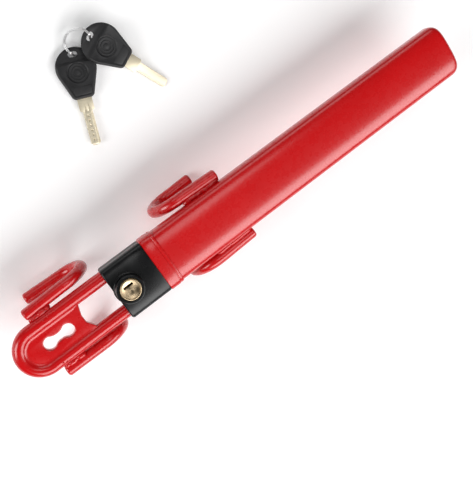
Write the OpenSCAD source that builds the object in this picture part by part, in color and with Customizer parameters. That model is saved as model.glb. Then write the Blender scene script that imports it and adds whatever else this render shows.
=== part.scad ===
// Twin-rod steering wheel lock with hooks, cylinder lock and two keys on a ring.
// Origin: on the key plug's axis, at the flat back face of the lock housing.
// +X runs along the handle to its closed end, +Z points out of the keyway.

/* [Rods] */
// Diameter of the twin rods
rod_d = 14; // [13.6:0.1:14.2]
// Distance between the axes of the two rods
rod_gap = 42; // [41.8:0.1:42]
// How far the rods slide out of the handle
rod_travel = 200; // [160:8:200]
// Distance between two neighbouring locking grooves
groove_pitch = 8; // [8:4:8]
// Depth of a locking groove
groove_depth = 3.4; // [3.4:0.1:4]

/* [Handle] */
// Outer width of the handle tube
handle_w = 59.5; // [59.4:0.1:60]
// Outer height of the handle tube
handle_h = 26; // [25.6:0.1:26.4]
// X of the closed far end of the handle
handle_end = 429; // [380:1:460]
// Wall thickness of the handle tube
handle_wall = 1.3; // [1.2:0.1:1.3]

/* [Lock housing] */
// Width of the lock housing
housing_w = 59.5; // [59:0.1:60]
// Height of the lock housing
housing_h = 28; // [27.5:0.1:28.5]
// X of the housing's front face, where the rods come out
housing_front = -13.5; // [-15:0.5:-13.5]
// X of the housing's rear face, where the collar starts
housing_rear = 33.5; // [33:0.5:36]
// Outer diameter of the round boss around the key plug
boss_d = 29; // [28.5:0.5:30]
// Height of the boss above the housing
boss_h = 9.5; // [9:0.5:11]

/* [Hooks] */
// Diameter of the bar that the hooks are bent from
hook_d = 12.5; // [11:0.5:12.5]
// Distance between the axes of a hook's two legs
hook_reach = 48; // [44:1:52]
// Length of the welded leg, from the bend's centre
weld_leg = 48; // [44:1:54]
// Length of a head hook's free leg, from the bend's centre
head_free_leg = 42; // [34:1:44]
// Length of a handle hook's free leg, from the bend's centre
handle_free_leg = 31; // [26:1:38]
// Angle between each leg and the rods, seen from above
hook_splay = 2.2; // [1:0.1:3]

/* [Keys] */
// Diameter of the round part of a key's bow
bow_d = 42; // [39:1:43]
// Thickness of a key's bow
bow_t = 9; // [8:0.5:9]
// Length of the blade beyond its shoulder
blade_l = 36; // [32:1:38]
// Width of the blade
blade_w = 10; // [9:0.1:10.2]
// Thickness of the blade
blade_t = 2.4; // [2:0.1:2.4]
// Diameter of the ring's wire
ring_wire = 1.6; // [1.2:0.1:1.6]

/* [Hidden] */
$fn = 48;

eps = 0.01;
mid_z = housing_h / 2;
rod_r = rod_d / 2;
rod_y = rod_gap / 2;
rod_bend_x = -103.5;
run_fit = 0.06;
slide_gap = 0.3;
handle_round = 9;
cap_l = 8;
cap_corner = 10;

// Housing inside
cover_t = 2;
cover_front = -10.5;
cover_rear = 31;
cover_half_w = 23;
screw_xs = [-7.5, 27];
screw_y = 18.5;
spigot_rear = 58;
spigot_half_w = 12.6;
boss_top = housing_h + boss_h;
shell_r = 12.6;
shell_bottom = 10;
shell_top = boss_top - 1.7;
pin_y = 8;
pin_x = 46;
cross_pin_r = 2;

// Key plug and pins
plug_r = 8;
plug_bottom = 9.4;
plug_head_r = 10.75;
plug_head_z = shell_top + 0.1;
plug_top = boss_top + 0.9;
keyway_y = 4.6;
keyway_l = 10.6;
keyway_w = 2.6;
pin_r = 1;
pin_zs = [14, 18, 22, 26, 30];
pin_bore_end = -(shell_r - 0.4);

// Cam and bolt
cam_r = 11.3;
cam_bottom = 6.5;
cam_top = 9.2;
cam_swing = 90;
bolt_travel = 3;
bolt_pin_r = 1.5;
bolt_pin_y = 5.5;
bolt_x = 21;
bolt_tip_y = rod_y - rod_r - 0.2;
tail_w = 5;

// Rear stop of the rods
stop_front = spigot_rear + rod_travel + slide_gap;
stop_t = 6;
rod_end = stop_front + stop_t;

// Hooks
hook_r = hook_d / 2;
hook_bend_r = hook_reach / 2;
hook_z = 9;
head_bend_x = -19.5 - hook_bend_r - hook_r;
handle_bend_x = 61 + hook_bend_r + hook_r;
head_hook_y = 37.2;
handle_hook_y = 38.1;
weld_w = 5;
head_weld_l = 25;

// Rectangle with round corners, width w along Y and height h along Z
module round_rect(w, h, r) {
    union() {
        square([w - 2 * r, h], center = true);
        square([w, h - 2 * r], center = true);
        for (sy = [-1, 1], sz = [-1, 1])
            translate([sy * (w / 2 - r), sz * (h / 2 - r)]) circle(r);
    }
}

// Bar of rounded section w x h, from x0 to x1, at the height of the rods
module section_bar(x0, x1, w, h, r) {
    translate([x0, 0, mid_z]) rotate([90, 0, 90])
        linear_extrude(x1 - x0) round_rect(w, h, r);
}

// Cylinder along +X
module rod_x(x0, x1, y, z, r) {
    translate([x0, y, z]) rotate([0, 90, 0]) cylinder(r = r, h = x1 - x0);
}

// Half ring that joins the two rods at the head
module rod_bend() {
    translate([rod_bend_x, 0, mid_z]) rotate([0, 0, 90])
        rotate_extrude(angle = 180) translate([rod_y, 0]) circle(rod_r);
}

// Rod leg with a round groove every pitch, for the bolt
module grooved_leg() {
    half_top = 2.9;
    half_floor = 2.3;
    first = bolt_x - rod_bend_x;
    count = rod_travel / groove_pitch;
    grooves = [for (i = [0 : count], k = [0 : 3])
        [k == 0 || k == 3 ? rod_r : rod_r - groove_depth,
         first + i * groove_pitch + [-half_top, -half_floor, half_floor, half_top][k]]];
    translate([rod_bend_x, -rod_y, mid_z]) rotate([0, 90, 0])
        rotate_extrude() polygon(concat([[0, 0], [rod_r, 0]], grooves,
            [[rod_r, rod_end - rod_bend_x], [0, rod_end - rod_bend_x]]));
}

module stop_screw_shape() {
    for (s = [-1, 1]) {
        rod_x(rod_end - 14, rod_end, s * rod_y, mid_z, 2.5);
        rod_x(rod_end, rod_end + 3.5, s * rod_y, mid_z, 5);
    }
}

module twin_rod() {
    color("silver") difference() {
        union() {
            rod_bend();
            grooved_leg();
            rod_x(rod_bend_x, rod_end, rod_y, mid_z, rod_r);
        }
        stop_screw_shape();
    }
}

// Web plate between the rods, with a dog-bone hole for hanging it up
plate_t = 8;
plate_rear = -53;
plate_chamfer = 6;
hole_r = 6.75;
hole_xs = [-92.8, -71.7];
hole_neck = 8;

module head_plate() {
    inner = rod_y - rod_r;
    color("firebrick") difference() {
        translate([0, 0, mid_z - plate_t / 2]) linear_extrude(plate_t) difference() {
            union() {
                translate([rod_bend_x, 0]) circle(rod_y - 3);
                translate([rod_bend_x, -inner - 2])
                    square([plate_rear - rod_bend_x, 2 * inner + 4]);
                polygon([[plate_rear - eps, -inner - 2], [plate_rear + plate_chamfer, -inner - 2],
                    [plate_rear + plate_chamfer, -inner], [plate_rear, plate_chamfer - inner],
                    [plate_rear, inner - plate_chamfer], [plate_rear + plate_chamfer, inner],
                    [plate_rear + plate_chamfer, inner + 2], [plate_rear - eps, inner + 2]]);
            }
            for (x = hole_xs) translate([x, 0]) circle(hole_r);
            translate([hole_xs[0], -hole_neck / 2]) square([hole_xs[1] - hole_xs[0], hole_neck]);
        }
        rod_bend();
        for (s = [-1, 1]) rod_x(rod_bend_x - 1, 0, s * rod_y, mid_z, rod_r);
    }
}

// Leg of a hook: a slight sideways turn, then a straight stretch towards -X
module hook_leg(length) {
    turn_r = 60;
    translate([0, -turn_r, 0]) {
        rotate([0, 0, 90])
            rotate_extrude(angle = hook_splay) translate([turn_r, 0]) circle(hook_r);
        rotate([0, 0, hook_splay]) rod_x(-length, 0, turn_r, 0, hook_r);
    }
}

// U-bent bar: the bend's centre is at the origin, the welded leg is on top
module u_hook(free_leg) {
    rotate([90, 0, 0]) rotate([0, 0, -90])
        rotate_extrude(angle = 180) translate([hook_bend_r, 0]) circle(hook_r);
    translate([0, 0, hook_bend_r]) hook_leg(weld_leg);
    translate([0, 0, -hook_bend_r]) mirror([0, 1, 0]) hook_leg(free_leg);
}

// Head hook, open towards -X, with the weld that joins it to the rod
module head_hook(side) {
    color("firebrick") difference() {
        union() {
            translate([head_bend_x, side * head_hook_y, hook_z - hook_bend_r])
                mirror([0, side < 0 ? 1 : 0, 0]) u_hook(head_free_leg);
            translate([head_bend_x - weld_leg + 1, side * 28 - weld_w / 2, 4.5])
                cube([head_weld_l, weld_w, 8]);
        }
        rod_x(rod_bend_x - 1, 0, side * rod_y, mid_z, rod_r);
    }
}

module handle_hook(side) {
    color("firebrick") difference() {
        union() {
            translate([handle_bend_x, side * handle_hook_y, hook_z - hook_bend_r])
                mirror([1, 0, 0]) mirror([0, side < 0 ? 1 : 0, 0]) u_hook(handle_free_leg);
            translate([handle_bend_x + 6, side * 30.5 - weld_w / 2, 7])
                cube([weld_leg - 12, weld_w, 5]);
        }
        section_bar(0, 200, handle_w, handle_h, handle_round);
    }
}

module head_hook_left() { head_hook(1); }
module head_hook_right() { head_hook(-1); }
module handle_hook_left() { handle_hook(1); }
module handle_hook_right() { handle_hook(-1); }

module rod_stop() {
    color("dimgray") difference() {
        section_bar(stop_front, rod_end, handle_w - 2 * handle_wall - 2 * slide_gap,
            handle_h - 2 * handle_wall - 2 * slide_gap, 7.2);
        for (s = [-1, 1]) rod_x(stop_front - 1, rod_end + 1, s * rod_y, mid_z, rod_r);
    }
}

module stop_screws() {
    color("gray") difference() {
        stop_screw_shape();
        for (s = [-1, 1]) translate([rod_end + 1.2, s * rod_y, mid_z]) rotate([0, 90, 0])
            cylinder(r = 2.4, h = 4, $fn = 6);
    }
}

module handle_tube() {
    color("firebrick") difference() {
        section_bar(housing_rear, handle_end - cap_l, handle_w, handle_h, handle_round);
        section_bar(housing_rear - 1, handle_end, handle_w - 2 * handle_wall,
            handle_h - 2 * handle_wall, handle_round - handle_wall);
        for (s = [-1, 1]) translate([pin_x, s * pin_y, -1]) cylinder(r = cross_pin_r, h = housing_h + 2);
    }
}

module end_cap() {
    plug_l = 8;
    color("firebrick") {
        intersection() {
            section_bar(handle_end - cap_l, handle_end, handle_w, handle_h, handle_round);
            linear_extrude(housing_h) union() {
                translate([handle_end - cap_corner - 1, cap_corner - handle_w / 2])
                    square([cap_corner + 1, handle_w - 2 * cap_corner]);
                for (s = [-1, 1])
                    translate([handle_end - cap_corner, s * (handle_w / 2 - cap_corner)])
                        circle(cap_corner);
            }
        }
        section_bar(handle_end - cap_l - plug_l, handle_end - cap_l,
            handle_w - 2 * handle_wall - 0.2, handle_h - 2 * handle_wall - 0.2,
            handle_round - handle_wall - 0.1);
    }
}

collar_w = handle_w + 2.4;
collar_l = 16;

module collar() {
    color("firebrick") difference() {
        union() {
            section_bar(housing_rear, housing_rear + collar_l - 1.5, collar_w, housing_h, 10);
            section_bar(housing_rear, housing_rear + collar_l, collar_w - 1.2,
                housing_h - 1, 9.5);
        }
        section_bar(housing_rear - 1, housing_rear + collar_l + 1, handle_w, handle_h,
            handle_round);
    }
}

// Outer block of the housing: rounded along X and at its front corners
module housing_block() {
    front_r = 2.5;
    intersection() {
        section_bar(housing_front, housing_rear, housing_w, housing_h, 6);
        linear_extrude(housing_h) union() {
            translate([housing_front, front_r - housing_w / 2])
                square([20, housing_w - 2 * front_r]);
            translate([housing_front + front_r, -housing_w / 2])
                square([housing_rear - housing_front, housing_w]);
            for (s = [-1, 1])
                translate([housing_front + front_r, s * (housing_w / 2 - front_r)])
                    circle(front_r);
        }
    }
}

module cover_outline() {
    translate([cover_front, -cover_half_w]) square([cover_rear - cover_front, 2 * cover_half_w]);
}

module cover_screw_shape() {
    for (x = screw_xs, s = [-1, 1]) translate([x, s * screw_y, 0]) {
        cylinder(r1 = 3, r2 = 1.5, h = 1.5);
        cylinder(r = 1.5, h = 5.5);
    }
}

module lock_housing() {
    color("black") difference() {
        union() {
            housing_block();
            translate([0, 0, housing_h - 1]) cylinder(r = boss_d / 2, h = boss_h - 0.2);
            translate([0, 0, boss_top - 1.2])
                cylinder(r1 = boss_d / 2, r2 = boss_d / 2 - 1.2, h = 1.2);
            section_bar(housing_rear - 1, spigot_rear, 2 * spigot_half_w,
                handle_h - 2 * handle_wall - 0.2, 2);
        }
        // Recess for the cover plate
        translate([0, 0, -1]) linear_extrude(cover_t + 1) cover_outline();
        // Seats of the cylinder shell and the cam disc
        translate([0, 0, shell_bottom]) cylinder(r = shell_r, h = boss_top);
        translate([0, 0, cover_t - 1]) cylinder(r = cam_r + 0.5, h = shell_bottom);
        // Cavity of the bolt's arm and block
        translate([-4, -13.2, cover_t - 1]) cube([bolt_x + 8.4, 13.2, 5.3]);
        translate([bolt_x - 4.1, -rod_y + 3, cover_t - 1]) cube([8.2, rod_y + 9.5, 17.2]);
        // Rod bores
        for (s = [-1, 1])
            rod_x(housing_front - 1, housing_rear + 1, s * rod_y, mid_z, rod_r + run_fit);
        cover_screw_shape();
        for (s = [-1, 1]) translate([pin_x, s * pin_y, -1]) cylinder(r = cross_pin_r, h = housing_h + 2);
    }
}

module housing_cover() {
    color("dimgray") difference() {
        linear_extrude(cover_t) cover_outline();
        cover_screw_shape();
    }
}

module cover_screws() {
    color("gray") difference() {
        cover_screw_shape();
        for (x = screw_xs, s = [-1, 1]) translate([x, s * screw_y, -eps]) {
            translate([-1.8, -0.35, 0]) cube([3.6, 0.7, 0.8]);
            translate([-0.35, -1.8, 0]) cube([0.7, 3.6, 0.8]);
        }
    }
}

// Cross pins that hold the housing's spigot in the handle
module housing_pins() {
    color("gray") for (s = [-1, 1]) translate([pin_x, s * pin_y, mid_z - handle_h / 2])
        difference() {
            cylinder(r = cross_pin_r, h = handle_h);
            translate([0, 0, -eps]) cylinder(r = cross_pin_r - 0.8, h = handle_h + 1);
        }
}

module pin_bores(r) {
    for (z = pin_zs) translate([0, 0, z]) rotate([90, 0, 0]) cylinder(r = r, h = -pin_bore_end);
}

module cylinder_shell() {
    color("goldenrod") difference() {
        translate([0, 0, shell_bottom]) cylinder(r = shell_r, h = shell_top - shell_bottom);
        translate([0, 0, shell_bottom - 1]) cylinder(r = plug_r + run_fit, h = shell_top);
        pin_bores(pin_r);
    }
}

module driver_pins() {
    color("khaki") for (z = pin_zs) translate([0, -plug_r - 0.1, z]) rotate([90, 0, 0]) {
        cylinder(r = pin_r - 0.05, h = 1.6);
        translate([0, 0, 1.6]) cylinder(r1 = pin_r - 0.05, r2 = pin_r - 0.35, h = 0.3);
    }
}

// Springs behind the driver pins, as short ribbed sleeves
module pin_springs() {
    turns = 4;
    pitch = 0.5;
    color("lightgray") for (z = pin_zs) translate([0, -plug_r - 2, z]) rotate([90, 0, 0])
        rotate_extrude() polygon(concat([[0.45, 0]],
            [for (i = [0 : turns - 1], k = [0, 1])
                [k == 0 ? 0.7 : 0.95, (i + k / 2) * pitch]],
            [[0.7, turns * pitch], [0.45, turns * pitch]]));
}

module keyway_outline() {
    translate([-keyway_l / 2, keyway_y - keyway_w / 2]) square([keyway_l, keyway_w]);
}

module lock_plug() {
    color("goldenrod") difference() {
        union() {
            translate([0, 0, plug_bottom]) cylinder(r = plug_r, h = plug_head_z - plug_bottom);
            translate([0, 0, plug_head_z]) cylinder(r = plug_head_r, h = plug_top - plug_head_z);
            translate([0, 0, cam_bottom]) linear_extrude(plug_bottom - cam_bottom + 1)
                square(tail_w, center = true);
        }
        // Shallow dish in the face, and the keyway
        translate([0, 0, plug_top - 1.2]) cylinder(r1 = 5.5, r2 = 9.6, h = 1.21);
        translate([0, 0, plug_bottom + 2]) linear_extrude(plug_top) keyway_outline();
        intersection() {
            pin_bores(pin_r);
            translate([-5, -20, 0]) cube([10, 20 + keyway_y, 40]);
        }
        translate([0, 0, cam_bottom - 1]) cylinder(r = 1.25, h = 5);
    }
}

module key_pins() {
    color("khaki") for (i = [0 : len(pin_zs) - 1])
        translate([0, -plug_r + 0.25, pin_zs[i]]) rotate([-90, 0, 0]) {
            cylinder(r = pin_r - 0.05, h = plug_r - 1.2 - 0.3 * (i % 3));
            translate([0, 0, plug_r - 1.2 - 0.3 * (i % 3)])
                cylinder(r1 = pin_r - 0.05, r2 = 0.3, h = 0.8);
        }
}

// Spiral slot: the bolt pin's radius grows evenly as the cam turns
function spiral(a, side) = let (r = bolt_pin_y + bolt_travel * a / cam_swing + side)
    [r * cos(-90 - a), r * sin(-90 - a)];

module cam_disc() {
    slot_r = bolt_pin_r + 0.15;
    steps = 24;
    angles = [for (i = [0 : steps]) cam_swing * i / steps];
    color("slategray") difference() {
        translate([0, 0, cam_bottom]) cylinder(r = cam_r, h = cam_top - cam_bottom);
        translate([0, 0, cam_bottom - 1]) linear_extrude(5) {
            polygon(concat([for (a = angles) spiral(a, slot_r)],
                [for (i = [0 : steps]) spiral(angles[steps - i], -slot_r)]));
            translate(spiral(0, 0)) circle(slot_r + 0.05);
            translate(spiral(cam_swing, 0)) circle(slot_r + 0.05);
            square(tail_w + 0.02, center = true);
        }
    }
}

module cam_screw() {
    color("gray") difference() {
        union() {
            translate([0, 0, cam_bottom - 1.8]) cylinder(r = 3.1, h = 1.8);
            translate([0, 0, cam_bottom - 1]) cylinder(r = 1.25, h = 5);
        }
        translate([-2.5, -0.4, cam_bottom - 2]) cube([5, 0.8, 0.9]);
    }
}

module lock_bolt() {
    arm_y = -8.6;
    color("silver") difference() {
        union() {
            translate([-3, arm_y, 3]) cube([bolt_x + 5, 5.2, 3]);
            translate([bolt_x - 4, arm_y, 3]) cube([8, 14, 15]);
            translate([bolt_x - 2, -bolt_tip_y, mid_z - 4]) cube([4, 12, 8]);
        }
        translate([0, -bolt_pin_y, 2]) cylinder(r = bolt_pin_r, h = 6);
    }
}

module bolt_pin() {
    color("gray") translate([0, -bolt_pin_y, 3]) cylinder(r = bolt_pin_r, h = 5.8);
}

// Return spring between the bolt and the housing, as a ribbed sleeve
module bolt_spring() {
    turns = 6;
    length = 6.8;
    color("lightgray") translate([bolt_x, 5.5, mid_z]) rotate([-90, 0, 0])
        rotate_extrude() polygon(concat([[1.6, 0]],
            [for (i = [0 : turns - 1], k = [0, 1])
                [k == 0 ? 2.1 : 2.8, (i + k / 2) * length / turns]],
            [[2.1, length], [1.6, length]]));
}

// Keys lying beside the lock, on the surface that the hooks stand on
floor_z = hook_z - hook_reach - hook_r;
key_a_at = [88.8, 197, floor_z + 0.2];
key_a_turn = -110.5;
key_b_at = [126.4, 203.6, floor_z + 10];
key_b_turn = -63.7;
key_b_pitch = 9.9;
bow_shift = -5;
bow_end = 27;
tab_end = -13;
tab_t = 2.4;
slot_x = -18.7;
slot_l = 10;
slot_w = 5.5;
shoulder_l = 13;
shoulder_w = 15;
shoulder_t = 3.4;
root_l = 14;

module place_key_a() { translate(key_a_at) rotate([0, 0, key_a_turn]) children(); }

module place_key_b() {
    translate(key_b_at) rotate([0, 0, key_b_turn]) rotate([0, key_b_pitch, 0]) children();
}

// Outline of the bow, seen from above, with the blade towards +X
module bow_outline() {
    end_r = 5;
    end_y = 8;
    translate([bow_shift, 0]) circle(d = bow_d);
    polygon([[bow_shift + 4, -bow_d / 2 + 0.5], [bow_end - end_r + 1, -end_y - end_r],
        [bow_end - end_r + 1, end_y + end_r], [bow_shift + 4, bow_d / 2 - 0.5]]);
    for (s = [-1, 1]) translate([bow_end - end_r, s * end_y]) circle(end_r);
    translate([bow_end - end_r, -end_y]) square([end_r, 2 * end_y]);
}

module blade_solid() {
    translate([bow_end - root_l, -blade_w / 2, (bow_t - blade_t) / 2])
        cube([root_l + shoulder_l + blade_l, blade_w, blade_t]);
    translate([bow_end, -shoulder_w / 2, (bow_t - shoulder_t) / 2])
        cube([shoulder_l, shoulder_w, shoulder_t]);
}

// Moulded bow: full thickness around the badge, a thin tab with a slot for the ring
module key_bow() {
    color("dimgray") difference() {
        union() {
            linear_extrude(bow_t) intersection() {
                bow_outline();
                translate([tab_end, -bow_d]) square([60, 2 * bow_d]);
            }
            translate([0, 0, (bow_t - tab_t) / 2]) linear_extrude(tab_t) bow_outline();
        }
        translate([slot_x, 0, -1]) linear_extrude(bow_t + 2) union() {
            square([slot_w, slot_l - slot_w], center = true);
            for (s = [-1, 1]) translate([0, s * (slot_l - slot_w) / 2]) circle(d = slot_w);
        }
        for (z = [-1, bow_t - 0.5]) translate([0, 0, z]) cylinder(d = 23, h = 1.5);
        blade_solid();
    }
}

module key_blade() {
    dimple_xs = [8, 13, 18, 23, 28, 33];
    top = (bow_t + blade_t) / 2;
    color("tan") difference() {
        blade_solid();
        // Side grooves, dimples and the bevelled tip
        translate([bow_end + shoulder_l + 2, 2.6, top - 0.6]) cube([blade_l, 1, 1]);
        translate([bow_end + shoulder_l + 2, -3.6, top - blade_t - 0.4]) cube([blade_l, 1, 1]);
        for (x = dimple_xs) translate([bow_end + shoulder_l + x - 2, -0.6, top - 0.7])
            cylinder(r1 = 0.4, r2 = 1.3, h = 0.71);
        for (s = [-1, 1]) translate([bow_end + shoulder_l + blade_l, s * blade_w / 2, 0])
            rotate([0, 0, 45]) translate([-1.4, -1.4, 0]) cube([2.8, 2.8, bow_t]);
    }
}

module key_a_bow() { place_key_a() key_bow(); }
module key_a_blade() { place_key_a() key_blade(); }
module key_b_bow() { place_key_b() key_bow(); }
module key_b_blade() { place_key_b() key_blade(); }

// Point of a key, given in the key's own frame, placed in the object's frame
function key_point(at, turn, pitch, p) = let (
    x = p[0] * cos(pitch) + p[2] * sin(pitch),
    z = p[2] * cos(pitch) - p[0] * sin(pitch))
    [at[0] + x * cos(turn) - p[1] * sin(turn), at[1] + x * sin(turn) + p[1] * cos(turn), at[2] + z];

// Ring: a circle through both slots, over the outer edges of the tabs and under the inner ones
ring_r = 12.8;
ring_lift = 3.2;
ring_ease = 1.6;
ring_steps = 48;
slot_a = key_point(key_a_at, key_a_turn, 0, [slot_x, 0, bow_t / 2]);
slot_b = key_point(key_b_at, key_b_turn, key_b_pitch, [slot_x, 0, bow_t / 2]);
ring_mid = (slot_a + slot_b) / 2;
ring_chord = norm([slot_b[0] - slot_a[0], slot_b[1] - slot_a[1]]);
ring_along = [slot_b[0] - slot_a[0], slot_b[1] - slot_a[1]] / ring_chord;
ring_out = [-ring_along[1], ring_along[0]];
ring_offset = sqrt(ring_r * ring_r - ring_chord * ring_chord / 4);

function ring_point(a) = let (
    u = ring_r * cos(a),
    v = ring_offset + ring_r * sin(a),
    lean = max(-1, min(1, (u - 6.5) / 3.8)),
    lift = ring_lift * v / sqrt(v * v + ring_ease * ring_ease))
    [ring_mid[0] + u * ring_along[0] + v * ring_out[0],
     ring_mid[1] + u * ring_along[1] + v * ring_out[1],
     ring_mid[2] + (slot_b[2] - slot_a[2]) / 2 * sin(90 * lean) + lift];

module key_ring() {
    sides = 8;
    points = [for (i = [0 : ring_steps - 1]) let (
            a = i * 360 / ring_steps,
            p = ring_point(a),
            t = ring_point(a + 1) - ring_point(a - 1),
            f = t / norm(t),
            side = cross(f, [0, 0, 1]) / norm(cross(f, [0, 0, 1])),
            up = cross(side, f))
        for (k = [0 : sides - 1])
            p + ring_wire / 2 * (cos(k * 360 / sides) * side + sin(k * 360 / sides) * up)];
    faces = [for (i = [0 : ring_steps - 1], k = [0 : sides - 1]) let (
            j = (i + 1) % ring_steps,
            m = (k + 1) % sides)
        [i * sides + k, i * sides + m, j * sides + m, j * sides + k]];
    color("silver") polyhedron(points, faces, convexity = 4);
}

handle_tube();
end_cap();
collar();
handle_hook_left();
handle_hook_right();
lock_housing();
housing_cover();
cover_screws();
housing_pins();
cylinder_shell();
driver_pins();
pin_springs();
bolt_spring();
lock_plug();
key_pins();
cam_disc();
cam_screw();
lock_bolt();
bolt_pin();
twin_rod();
head_plate();
head_hook_left();
head_hook_right();
rod_stop();
stop_screws();
key_ring();
key_a_bow();
key_a_blade();
key_b_bow();
key_b_blade();
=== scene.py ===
"""Twin-rod steering wheel lock with two keys: looks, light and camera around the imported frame."""
import bpy, bmesh, math, random
from mathutils import Matrix, Vector, noise


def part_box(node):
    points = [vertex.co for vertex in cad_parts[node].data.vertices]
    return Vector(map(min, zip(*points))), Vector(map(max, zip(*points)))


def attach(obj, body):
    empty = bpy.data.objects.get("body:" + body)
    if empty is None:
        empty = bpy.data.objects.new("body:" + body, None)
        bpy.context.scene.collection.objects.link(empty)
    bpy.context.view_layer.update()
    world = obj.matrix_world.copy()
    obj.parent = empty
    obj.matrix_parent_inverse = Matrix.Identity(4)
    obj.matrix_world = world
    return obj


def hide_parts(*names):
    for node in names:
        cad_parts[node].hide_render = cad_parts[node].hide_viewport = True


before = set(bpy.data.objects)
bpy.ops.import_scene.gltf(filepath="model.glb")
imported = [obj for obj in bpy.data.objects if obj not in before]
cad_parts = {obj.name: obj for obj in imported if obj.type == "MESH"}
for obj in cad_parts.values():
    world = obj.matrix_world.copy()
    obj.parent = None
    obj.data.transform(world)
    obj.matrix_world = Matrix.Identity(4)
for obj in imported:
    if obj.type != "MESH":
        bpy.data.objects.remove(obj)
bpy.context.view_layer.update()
random.seed(7)

# Driving sizes in metres, repeated from the design where the frame's boxes don't give them
MM = 0.001
ROD_Z = 0.014
ROD_Y = 0.021
ROD_R = 0.007
ROD_BEND_X = -0.1035
HOOK_R = 0.00625
HOOK_BEND_R = 0.024
HOOK_Z = 0.009
HOOK_SPLAY = math.radians(2.2)
WELD_LEG = 0.048
HEAD_FREE_LEG = 0.042
HANDLE_FREE_LEG = 0.031
HEAD_HOOK_Y = 0.0372
HANDLE_HOOK_Y = 0.0381


def mid(a, b, t=0.5):
    return a + (b - a) * t


# ---------------------------------------------------------------- materials

def new_material(name):
    mat = bpy.data.materials.new(name)
    mat.use_nodes = True
    nodes = mat.node_tree.nodes
    shader = nodes.get("Principled BSDF")
    return mat, nodes, mat.node_tree.links, shader


def object_coords(nodes, links, scale=(1, 1, 1)):
    coords = nodes.new("ShaderNodeTexCoord")
    mapping = nodes.new("ShaderNodeMapping")
    mapping.inputs["Scale"].default_value = scale
    links.new(coords.outputs["Object"], mapping.inputs["Vector"])
    return mapping.outputs["Vector"]


def noise_node(nodes, links, vector, scale, detail=4.0, rough=0.55):
    node = nodes.new("ShaderNodeTexNoise")
    node.inputs["Scale"].default_value = scale
    node.inputs["Detail"].default_value = detail
    node.inputs["Roughness"].default_value = rough
    links.new(vector, node.inputs["Vector"])
    return node.outputs["Fac"]


def ramp(nodes, links, fac, stops):
    node = nodes.new("ShaderNodeValToRGB")
    elements = node.color_ramp.elements
    while len(elements) > 1:
        elements.remove(elements[-1])
    elements[0].position, elements[0].color = stops[0][0], (*stops[0][1], 1)
    for place, colour in stops[1:]:
        elements.new(place).color = (*colour, 1)
    links.new(fac, node.inputs["Fac"])
    return node.outputs["Color"]


def grey(value):
    return (value, value, value)


def add_bump(nodes, links, shader, height, strength, distance):
    node = nodes.new("ShaderNodeBump")
    node.inputs["Strength"].default_value = strength
    node.inputs["Distance"].default_value = distance
    links.new(height, node.inputs["Height"])
    links.new(node.outputs["Normal"], shader.inputs["Normal"])
    return node


RED_SHADES = [(0.3, (0.545, 0.0012, 0.0026)), (0.7, (0.575, 0.0018, 0.0034))]


def red_colour(nodes, links, vector):
    """Red with a little drift over a few centimetres."""
    return ramp(nodes, links, noise_node(nodes, links, vector, 24.0, 3.0), RED_SHADES)


def orange_peel(nodes, links, shader, vector):
    """Faint unevenness of a sprayed coat."""
    peel = noise_node(nodes, links, vector, 300.0, 2.0)
    add_bump(nodes, links, shader, peel, 0.014, 0.00015)


def red_paint():
    """Glossy red powder coat: slight orange peel, a little colour drift."""
    mat, nodes, links, shader = new_material("red_powder_coat")
    vector = object_coords(nodes, links)
    links.new(red_colour(nodes, links, vector), shader.inputs["Base Color"])
    wear = noise_node(nodes, links, vector, 160.0, 5.0)
    links.new(ramp(nodes, links, wear, [(0.3, grey(0.25)), (0.75, grey(0.31))]),
              shader.inputs["Roughness"])
    orange_peel(nodes, links, shader, vector)
    shader.inputs["Specular IOR Level"].default_value = 0.5
    shader.inputs["Coat Weight"].default_value = 0.55
    shader.inputs["Coat Roughness"].default_value = 0.18
    return mat


def black_coat():
    """Satin black coat on die-cast zinc, with a fine cast texture."""
    mat, nodes, links, shader = new_material("black_housing_coat")
    vector = object_coords(nodes, links)
    tone = noise_node(nodes, links, vector, 60.0, 4.0)
    links.new(ramp(nodes, links, tone, [(0.3, (0.0014, 0.0016, 0.0020)), (0.7, (0.0026, 0.0029, 0.0034))]),
              shader.inputs["Base Color"])
    links.new(ramp(nodes, links, tone, [(0.2, grey(0.25)), (0.8, grey(0.31))]),
              shader.inputs["Roughness"])
    grain = noise_node(nodes, links, vector, 1500.0, 2.0)
    add_bump(nodes, links, shader, grain, 0.06, 0.0002)
    shader.inputs["Specular IOR Level"].default_value = 0.36
    shader.inputs["Coat Weight"].default_value = 0.12
    shader.inputs["Coat Roughness"].default_value = 0.3
    return mat


def brushed_metal(name, light, dark, rough, scale, bump=0.08):
    """Metal with fine streaks along the axis that scale leaves coarse."""
    mat, nodes, links, shader = new_material(name)
    vector = object_coords(nodes, links, scale)
    streak = noise_node(nodes, links, vector, 90.0, 5.0, 0.7)
    links.new(ramp(nodes, links, streak, [(0.3, dark), (0.7, light)]), shader.inputs["Base Color"])
    links.new(ramp(nodes, links, streak, [(0.2, grey(rough)), (0.8, grey(rough + 0.14))]),
              shader.inputs["Roughness"])
    add_bump(nodes, links, shader, streak, bump, 0.0002)
    shader.inputs["Metallic"].default_value = 1.0
    return mat


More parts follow.
